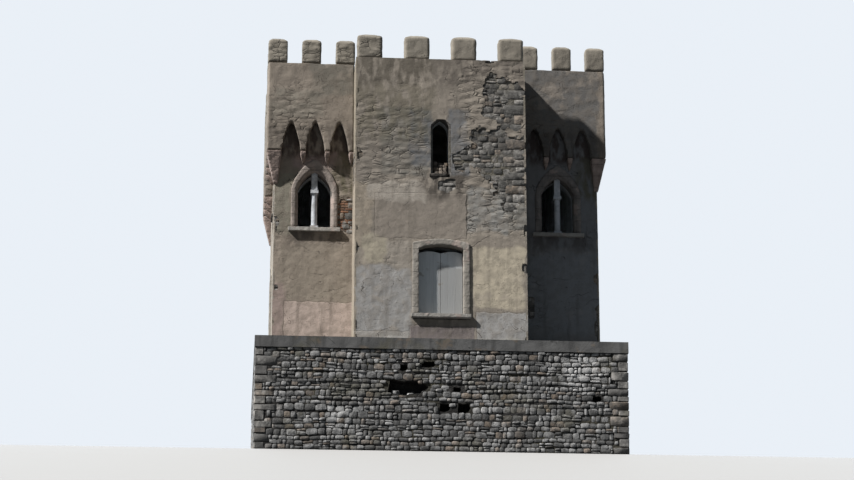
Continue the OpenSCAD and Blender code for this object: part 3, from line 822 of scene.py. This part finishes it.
# What they leave open. A pointed opening has half its width, the height of its sides, the rise of
# its head and the height of its foot.
WINDOW = pointed(0.60 + 0.17 - LAP, 1.80 + 0.13, 0.11, 0.70)
WINDOW_CILL = oblong(-0.77, 0.77, 0.68, 0.77)
SLIT = pointed(0.225, 1.35, 0.26, 4.64, 0.03)
ROUND_SLIT = oblong(-0.34, 0.34, 4.5, 6.4)
DOORWAY = pointed(0.575 + 0.17 - LAP, 2.12 + 0.13, 0.11, -0.2)
LANCET = pointed(0.45 + 0.19 - 0.05, 1.11, 0.80, 3.40)

# For each wall its plaster, its patches, the ovals of bare stone and where the plaster is thin
MAIN_LOOKS = {
    "front": (
        paint(142, 134, 124), FRONT_PATCHES,
        [(1.55, 5.35, 0.85, 0.80), (1.95, 4.30, 0.48, 0.62), (1.75, 6.70, 0.62, 0.85),
         (0.55, 5.0, 0.22, 0.25), (0.12, 4.36, 0.30, 0.18)],
        [(0.50, 2.4, 3.0, 8.2), (-2.3, -0.4, 4.4, 6.6)],
    ),
    "right": (
        paint(140, 133, 122), SIDE_PATCHES,
        [(-1.6, 4.6, 0.7, 0.6), (2.2, 1.2, 0.5, 0.5), (0.5, 7.0, 0.5, 0.5), (-2.7, 1.9, 0.4, 0.7)],
        [(-2.4, -0.5, 3.6, 5.6), (0.9, 3.2, 0.3, 2.2)],
    ),
    "back": (
        paint(142, 135, 124), PLAIN_PATCHES,
        [(1.4, 4.6, 0.8, 0.6), (-1.9, 6.5, 0.4, 0.7), (-1.5, 2.2, 0.3, 0.4)],
        [(0.5, 2.4, 3.6, 5.6), (-2.4, -1.0, 5.6, 7.4)],
    ),
    "left": (
        paint(144, 136, 125), SIDE_PATCHES,
        [(1.5, 4.4, 0.8, 0.6), (-2.3, 3.2, 0.45, 0.7), (-0.5, 6.9, 0.5, 0.6)],
        [(0.4, 3.2, 3.4, 5.4), (-3.0, -1.2, 2.2, 4.2)],
    ),
}
CORNER_LOOKS = {
    "front_left": (
        paint(140, 130, 119), LEFT_CORNER_PATCHES, [(0.88, 3.86, 0.26, 0.50)], [(0.3, 1.1, 3.0, 5.2)],
    ),
    # Darker, bluer base and patches here: painted shade.
    "front_right": (paint(123, 123, 124), PAINTED_SHADE_PATCHES, [(-0.9, 1.3, 0.2, 0.3)], [(-1.1, -0.4, 0.8, 2.2)]),
    "back_right": (paint(138, 131, 121), PLAIN_PATCHES, [(0.5, 2.2, 0.4, 0.4)], [(0.0, 1.1, 1.5, 3.0)]),
    "back_left": (paint(138, 131, 121), PLAIN_PATCHES, [(-0.4, 1.5, 0.4, 0.4)], [(-1.1, 0.2, 0.9, 2.2)]),
}
STEP_LOOKS = {
    "front_left": (paint(146, 137, 124), [], [(-0.1, 4.9, 0.4, 0.5)], [(-0.7, 0.7, 4.0, 6.0)]),
    "front_right": (paint(136, 130, 121), [], [(0.2, 2.2, 0.3, 0.4)], [(-0.7, 0.7, 2.0, 5.0)]),
    "back_right": (paint(138, 131, 121), [], [(-0.2, 3.6, 0.3, 0.5)], [(-0.7, 0.2, 2.4, 5.0)]),
    "back_left": (paint(138, 131, 121), [], [(0.2, 5.6, 0.3, 0.6)], [(-0.7, 0.7, 4.4, 7.0)]),
}
MAIN_STAINS_AND_SHADE = [
    # Darker under the window's cill: painted shade of the cill, with dirt.
    (shade(SOOT, 1.3), -0.75, 0.75, 0.15, 0.66, 0.40),
    # Soot and painted shadow below the slit's cill, reaching to the right as the sun's shadow does.
    (SOOT, -0.42, 0.62, 4.05, 4.66, 0.85),
    (DAMP, -2.4, -0.2, 5.6, 8.2, 0.45),
    (shade(SOOT, 1.4), -3.4, 3.4, 7.2, 8.2, 0.5),
]
CORNER_STAINS_AND_SHADE = [
    # Dark brown between the corbels under the bays: soot, and painted shade of the bay above.
    (paint(66, 54, 49), -1.2, 1.2, 5.50, 6.8, 0.9),
    # Damp, and painted shadow of the bay's corbels, right of the pointed window.
    (DAMP, 0.55, 1.20, 4.45, 5.6, 0.8),
    # Darker below the pointed window's cill: soot and painted shadow of the cill.
    (shade(SOOT, 1.15), -0.75, 0.95, 2.95, 3.42, 0.6),
]
STEP_STAINS = [(DAMP, -0.7, 0.7, 5.6, 8.2, 0.4)]
CRACKS = {"front": [(0.74, 2.60, 1.32, 2.98, 0.012)]}
BARE = {}


def plastered(name, face, look, stains_and_shade, openings, cracks=()):
    """Plasters a face, and notes where its stones are bare."""
    base, patches, bare, thin = look
    finish = plaster(f"{name}_plaster", face, base, patches, stains_and_shade, thin, cracks)
    coat(f"{name}_plaster_coat", face, openings, bare, finish)
    BARE[name] = (face, bare)


for side, face in MAIN_FACES.items():
    openings = [SLIT, DOORWAY] if side == "back" else [SLIT, WINDOW, WINDOW_CILL]
    plastered(side, face, MAIN_LOOKS[side], MAIN_STAINS_AND_SHADE, openings, CRACKS.get(side, ()))
for side, face in CORNER_FACES.items():
    plastered(f"{side}_corner", face, CORNER_LOOKS[side], CORNER_STAINS_AND_SHADE, [LANCET])
for side, face in STEP_FACES.items():
    plastered(f"{side}_step", face, STEP_LOOKS[side], STEP_STAINS, [])

# Stones

model_stones = [model_stone(n) for n in range(8)]
model_blocks = [model_stone(n + 20, 0.05, 0.08) for n in range(3)]
# The usual lengths of a corner stone along the two faces
SHORT, LONG = 0.26, 0.46


def hollow_at(x, z):
    """Whether a point of the plinth's front lies in a hollow, by the outline that the solid has."""
    for cx, cz, w, h in HOLLOWS:
        across, up = (x - cx) / w, (z - cz) / h
        if all((x1 - x0) * (up - z0) > (z1 - z0) * (across - x0) for x0, z0, x1, z1 in HOLLOW_EDGES):
            return True
    return False


def free_of_hollows(stone):
    """Whether little of a stone lies over a hollow."""
    x, z, width, height = stone
    reach = [(0, 0), (0.34, 0), (-0.34, 0), (0, 0.3), (0, -0.3)]
    return not any(hollow_at(x + width * a, z + height * b) for a, b in reach)


def quoin_rows(low, high, dice):
    """The bottom and top of each corner stone, and its lengths along the two faces."""
    rows = []
    while low < high - 0.05:
        top = min(low + dice.uniform(0.14, 0.30), high)
        if high - top < 0.12:
            top = high
        lengths = [SHORT * dice.uniform(0.7, 1.2), LONG * dice.uniform(0.75, 1.25)]
        if len(rows) % 2 == 0:
            lengths.reverse()
        rows.append((low, top, *lengths))
        low = top
    return rows


def between_quoins(stones, rows):
    """The stones of a plinth wall, cut off where the corner stones are."""
    for x, z, width, height in stones:
        at_right, at_left = next((r[2:] for r in rows if r[0] <= z < r[1]), (LONG, SHORT))
        low = max(x - width / 2, at_left - PLINTH_D)
        high = min(x + width / 2, PLINTH_D - at_right)
        if high - low > 0.06:
            yield (low + high) / 2, z, high - low, height


rows = quoin_rows(0.0, PLINTH_H, random.Random(3))
quoins = []
for number, (side, face) in enumerate(PLINTH_FACES.items()):
    dice = random.Random(11 + number)
    laid = courses(-PLINTH_D, PLINTH_D, 0.0, PLINTH_H, (0.08, 0.19), (0.10, 0.30), dice)
    laid = list(between_quoins(laid, rows))
    if side == "front":
        laid = [s for s in laid if free_of_hollows(s)]
    piece = lay(model_stones, laid, dice, (0.004, 0.034), 0.018, 8)
    place = place_of(face, 0)
    settle(piece, f"{side}_plinth_stones", FRONT_RUBBLE if side == "front" else RUBBLE, place)
    for low, top, along, deep in rows:
        out = dice.uniform(0.008, 0.024)
        block = block_at(model_blocks, dice, PLINTH_D - along, PLINTH_D + out, -out, deep,
                         low + 0.006, top - 0.006)
        block.data.transform(place)
        quoins.append(block)
settle(join(quoins), "plinth_quoins", QUOIN)

# Loose stones in the largest hollow
dice = random.Random(23)
blocks = []
for x, low, back in ((-1.34, 1.48, 0.16), (-1.16, 1.46, 0.28), (-0.93, 1.45, 0.20), (-0.72, 1.47, 0.30),
                     (-0.55, 1.52, 0.14), (-1.25, 1.56, 0.36), (-0.84, 1.55, 0.38)):
    size = dice.uniform(0.13, 0.22)
    blocks.append(block_at(model_stones, dice, x, x + size, back - 0.12, back + 0.10, low, low + size * 0.6))
settle(join(blocks), "fallen_stones", RUBBLE, place_of(PLINTH_FACES["front"], 0))

# The stones that show where the plaster has fallen, with corner stones at the front's right edge


def shows(stone, name, face, bare):
    """Whether a stone of a wall lies where the plaster has fallen."""
    x, z, width, _ = stone
    in_opening = ROUND_SLIT(x, z) if name in MAIN_FACES else LANCET(x, z)
    broken = in_any(bare, x, z, 0.24) or chipped(x, z, face, 0.12)
    edge = face.half - 0.42 if name == "front" else face.half + 0.01
    fits = abs(x) + width / 2 < face.half + 0.01 and x < edge and not behind_bay(face, x, z)
    return broken and fits and not in_opening


for number, (name, (face, bare)) in enumerate(BARE.items()):
    dice = random.Random(31 + number)
    laid = courses(-face.half, face.half, 0.02, face.top, (0.10, 0.22), (0.12, 0.32), dice)
    laid = [s for s in laid if shows(s, name, face, bare)]
    blocks = []
    if name == "front":
        for low, high, along, _ in quoin_rows(3.3, face.top, dice):
            blocks.append(block_at(model_blocks, dice, face.half - along - 0.06, face.half,
                                   -dice.uniform(0.012, 0.022), 0.10, low + 0.007, high - 0.007))
    if laid:
        blocks.append(lay(model_stones, laid, dice, (0.002, 0.022), 0.022, 4))
    if blocks:
        settle(join(blocks), f"{name}_bare_stones", WALL_STONE, place_of(face))

# Bricks beside the left pointed window
dice = random.Random(7)
laid = [
    (x, z, 0.225, 0.072)
    for row, z in enumerate([3.42 + 0.075 * n for n in range(15)])
    for x in [0.72 + 0.11 * (row % 2) + 0.235 * n for n in range(2)]
    if x < CORNER_HALF - 0.04
]
bricks = lay(model_blocks, laid, dice, (0.002, 0.018), 0.012, 1.0)
settle(bricks, "front_left_bare_bricks", BRICK, place_of(CORNER_FACES["front_left"]))

# Rubble lies in the foot of the front slit
dice = random.Random(19)
blocks = []
for low, front in ((4.69, 0.02), (4.69, 0.17), (4.79, 0.05), (4.81, 0.20), (4.89, 0.08), (4.98, 0.12)):
    left = -0.215
    while left < 0.16:
        right = min(left + dice.uniform(0.09, 0.19), 0.215)
        blocks.append(block_at(model_stones, dice, left, right, front, front + dice.uniform(0.13, 0.18),
                               low - 0.01, low + dice.uniform(0.08, 0.12)))
        left = right
settle(join(blocks), "front_slit_rubble", SLIT_RUBBLE, place_of(MAIN_FACES["front"]))

# Window leaves and door, made of boards


def board(left, right, low, left_top, right_top, front, back):
    """A board between these bounds, whose top slopes from one side to the other."""
    middle = ((left + right) / 2, (front + back) / 2, (low + left_top) / 2)
    size = (right - left, back - front, left_top - low)
    bpy.ops.mesh.primitive_cube_add(size=1, location=middle, scale=size)
    piece = apply_place()
    pick(piece, lambda v: v.co.x > middle[0] and v.co.z > middle[2], "VERT")
    bpy.ops.transform.translate(value=(0, 0, right_top - left_top))
    bpy.ops.mesh.select_all(action="SELECT")
    bpy.ops.mesh.bevel(offset=0.003, segments=1, affect="EDGES")
    leave_edit()
    return piece


def boards(left, right, count, low, head, front, back):
    """Boards side by side under a curved or pointed head."""
    pieces = []
    width = (right - left) / count
    for n in range(count):
        start, end = left + n * width, left + (n + 1) * width
        pieces.append(board(start + 0.001, end - 0.001, low, head(start), head(end), front, back))
    return pieces


# Heights of the foot and the shoulder of a window leaf, half its width and the rise of its head
CILL_TOP, LEAF_TOP, LEAF_HALF, LEAF_RISE = 0.78, 0.78 + 1.725, 0.294, 0.055
DOOR_HALF = 0.569
# The front and the back of the boards, in from the face of the wall
LEAF_DEPTH, DOOR_DEPTH = (0.150, 0.195), (0.150, 0.210)
# The paint of the left leaves. At the front it is lighter: painted light in the shadow of the left jamb.
LEAF_PAINT_AND_PAINTED_LIGHT = (paint(142, 146, 150), paint(192, 197, 200))


def leaf_head(middle):
    return lambda x: LEAF_TOP + LEAF_RISE * (1 - min(1, ((x - middle) / LEAF_HALF) ** 2))


def door_head(x):
    share = 1 - abs(x) / DOOR_HALF
    return 2.114 + 0.11 * share + 0.12 * share * (1 - share)


for side in ("front", "right", "left"):
    face = MAIN_FACES[side]
    pair = []
    for middle in (-0.298, 0.298):
        left, right = middle - LEAF_HALF, middle + LEAF_HALF
        pair += boards(left, right, 3, CILL_TOP, leaf_head(middle), *LEAF_DEPTH)
    finish = old_board(f"{side}_window_boards", LEAF_PAINT_AND_PAINTED_LIGHT[side == "front"], paint(144, 145, 145), face)
    piece = join(pair)
    settle(piece, f"{side}_window_leaves", finish, place_of(face), smooth=False)
    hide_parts("window_shutters")

piece = join(boards(-DOOR_HALF, DOOR_HALF, 8, 0.06, door_head, *DOOR_DEPTH))
settle(piece, "door_planks", OAK, place_of(MAIN_FACES["back"]), smooth=False)
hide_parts("door")

# Two strap hinges with their nails, and a ring to pull the door by
IRON = stone("iron", paint(58, 54, 52), paint(74, 66, 60), 0.02, 0.002)
fittings = []
for level in (0.46, 1.74):
    bar = board(-0.55, 0.38, level - 0.028, level + 0.028, level + 0.028, 0.142, 0.151)
    pick(bar, lambda v: v.co.x > 0.3, "VERT")
    bpy.ops.transform.resize(value=(1, 1, 0.25))
    leave_edit()
    fittings.append(bar)
    for n in range(5):
        bpy.ops.mesh.primitive_uv_sphere_add(segments=10, ring_count=6, radius=0.013,
                                             location=(-0.50 + 0.20 * n, 0.142, level))
        fittings.append(apply_place())
bpy.ops.mesh.primitive_torus_add(location=(0.44, 0.136, 1.05), rotation=(math.pi / 2, 0, 0),
                                 major_radius=0.058, minor_radius=0.008, major_segments=32, minor_segments=8)
fittings.append(apply_place())
bpy.ops.mesh.primitive_uv_sphere_add(segments=16, ring_count=8, radius=0.024, location=(0.44, 0.144, 1.108))
fittings.append(apply_place())
settle(join(fittings), "door_ironwork", IRON, place_of(MAIN_FACES["back"]))

for block in model_stones + model_blocks:
    bpy.data.objects.remove(block)

# Stage, light and camera

# The floor falls away in front of the tower, down to the low camera
FLOOR_STEPS = [(0.4, 0.12), (0.8, 0.32), (1.5, 0.75), (3, 1.8), (6, 3.8), (6, 3.2), (6, 2.2), (8, 1.3),
               (90, 0)]
bpy.ops.mesh.primitive_plane_add(size=1)
floor = bpy.context.object
floor.data.transform(Matrix.Translation((0, 40 - PLINTH_D, -0.004)) @ Matrix.Diagonal((200, 80, 1, 1)))
front_edge = min(v.co.y for v in floor.data.vertices)
for run, drop in FLOOR_STEPS:
    pick(floor, lambda v: v.co.y < front_edge + 0.001, "VERT")
    bpy.ops.mesh.extrude_region_move(TRANSFORM_OT_translate={"value": (0, -run, -drop)})
    leave_edit()
    front_edge -= run
floor.name = "stage_ground"
# The floor looks pale, and throws little light up at the walls
pale = Finish("stage_pale")
looked_at = pale.node("ShaderNodeLightPath").outputs["Is Camera Ray"]
floor_tone = pale.mix(looked_at, (0.07, 0.07, 0.07, 1), (0.34, 0.34, 0.34, 1))
floor.data.materials.append(pale.done(floor_tone, 0.95, pale.relief(0.0, 0.0)))
bpy.ops.object.shade_smooth()

# A plain pale backdrop. The light it gives is weaker, and comes more from behind the tower, so that
# the walls that the sun misses still show their stone.
world = bpy.data.worlds.new("studio")
world.use_nodes = True
bpy.context.scene.world = world
world.node_tree.nodes.clear()
sky = NodeTree(world.node_tree)
rays = sky.node("ShaderNodeLightPath")
seen = sky.math("MAXIMUM", rays.outputs["Is Camera Ray"], rays.outputs["Is Transmission Ray"])
around = sky.node("ShaderNodeSeparateXYZ", Vector=sky.node("ShaderNodeTexCoord").outputs["Generated"])
power = sky.map_range(around.outputs["Y"], -0.05, 0.35, 0.16, 1.5).outputs["Result"]
light = sky.node("ShaderNodeBackground", Color=(0.74, 0.87, 1.0, 1), Strength=power)
backdrop = sky.node("ShaderNodeBackground", Color=(0.82, 0.87, 0.93, 1), Strength=1.0)
choose = sky.node("ShaderNodeMixShader", Fac=seen)
sky.feed(choose.inputs[1], light.outputs[0])
sky.feed(choose.inputs[2], backdrop.outputs[0])
sky.node("ShaderNodeOutputWorld", Surface=choose.outputs[0])

# The sun stands high on the left, so that it grazes the front
sun = bpy.data.objects.new("key", bpy.data.lights.new("key", "SUN"))
sun.data.energy = 8.2
sun.data.angle = math.radians(2)
sun.data.color = (1.0, 0.975, 0.94)
SUN_TURN, SUN_HEIGHT = math.radians(68), math.radians(45)
towards_sun = Vector((-math.sin(SUN_TURN), -math.cos(SUN_TURN), math.tan(SUN_HEIGHT)))
sun.rotation_euler = towards_sun.to_track_quat("Z", "Y").to_euler()
bpy.context.scene.collection.objects.link(sun)

camera = bpy.data.objects.new("camera", bpy.data.cameras.new("camera"))
camera.location = (-5.3, -62.5, -10.75)
aim = Vector((0.0, 0.0, 7.1))
camera.rotation_euler = (aim - camera.location).to_track_quat("-Z", "Y").to_euler()
camera.data.lens = 95
camera.data.clip_end = 1000
bpy.context.scene.collection.objects.link(camera)
bpy.context.scene.camera = camera
bpy.context.scene.view_settings.view_transform = "Standard"
